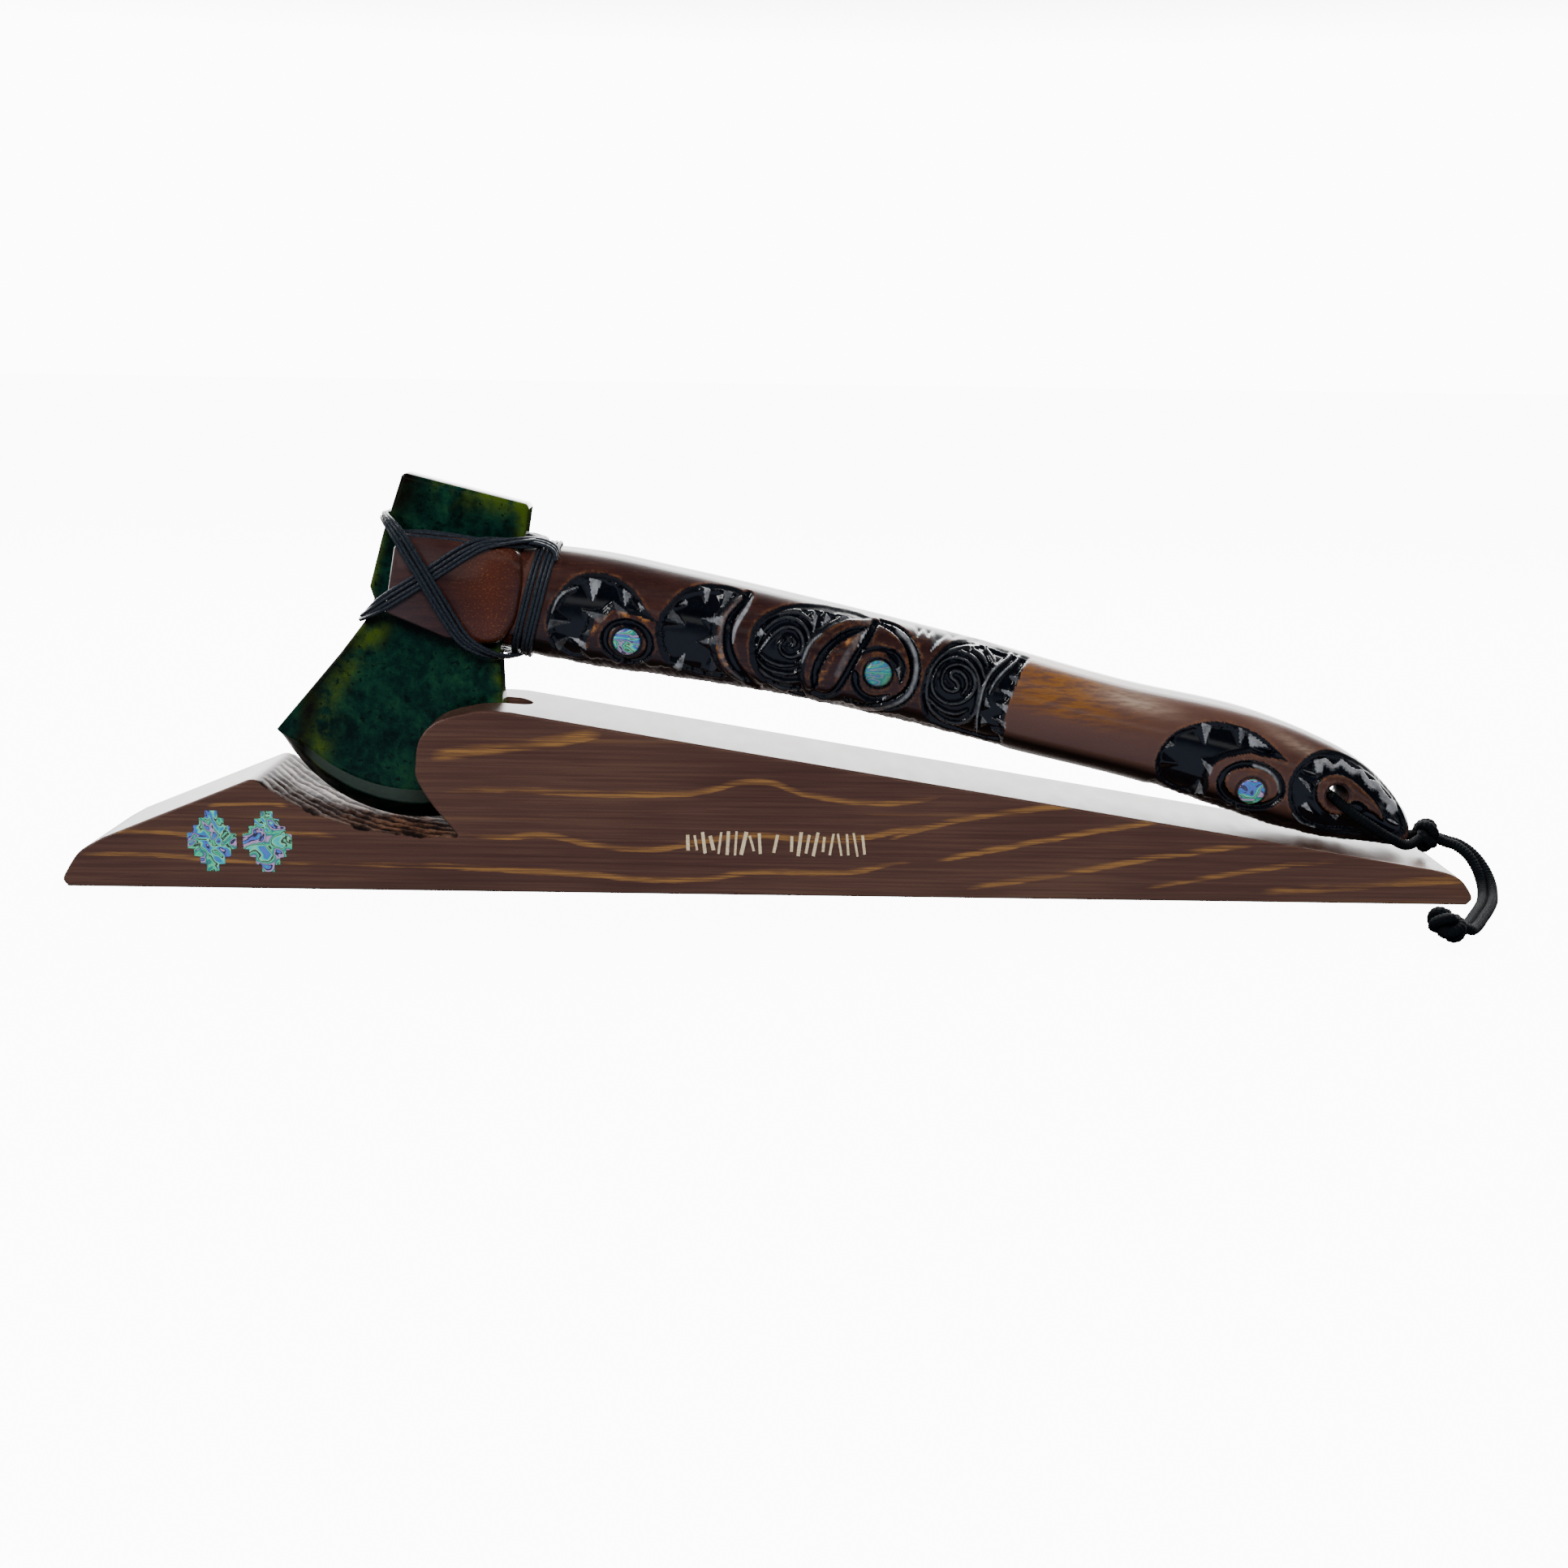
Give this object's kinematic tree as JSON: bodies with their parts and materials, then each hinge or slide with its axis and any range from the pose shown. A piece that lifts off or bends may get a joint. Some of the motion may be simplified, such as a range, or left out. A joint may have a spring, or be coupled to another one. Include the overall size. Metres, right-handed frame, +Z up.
{
  "type": "greenstone axe",
  "caption": "Ceremonial axe with a polished greenstone blade lashed into a carved wooden handle, resting in a shaped wooden stand with shell inlays and a knotted wrist cord.",
  "frame": {"origin": "middle of the stand's footprint, on the surface that it stands on", "axes": "+X along the stand to its low end, +Y to its back, +Z up"},
  "size_m": [0.4445, 0.0959, 0.1267],
  "materials": {
    "stand_wood": "dark stained and varnished pine, satin to glossy",
    "handle_wood": "dark red-brown hardwood, high gloss, carved places black",
    "greenstone": "polished dark green with black specks",
    "shell": "polished blue-green nacre",
    "waxed_cord": "waxed black thread",
    "braided_cord": "matte black braid"
  },
  "bodies": {
    "root": {"stand": "stand_wood", "inlay_left": "shell", "inlay_right": "shell", "axe_head": "greenstone", "handle": "handle_wood", "eye_front_1": "shell", "eye_front_2": "shell", "eye_front_3": "shell", "eye_back_1": "shell", "eye_back_2": "shell", "eye_back_3": "shell", "lashing": "waxed_cord", "cord_loop_front": "braided_cord", "cord_loop_back": "braided_cord", "cord_tail_left": "braided_cord", "cord_tail_right": "braided_cord", "cord_knot": "braided_cord", "end_knot": "braided_cord"}
  },
  "joints": []
}
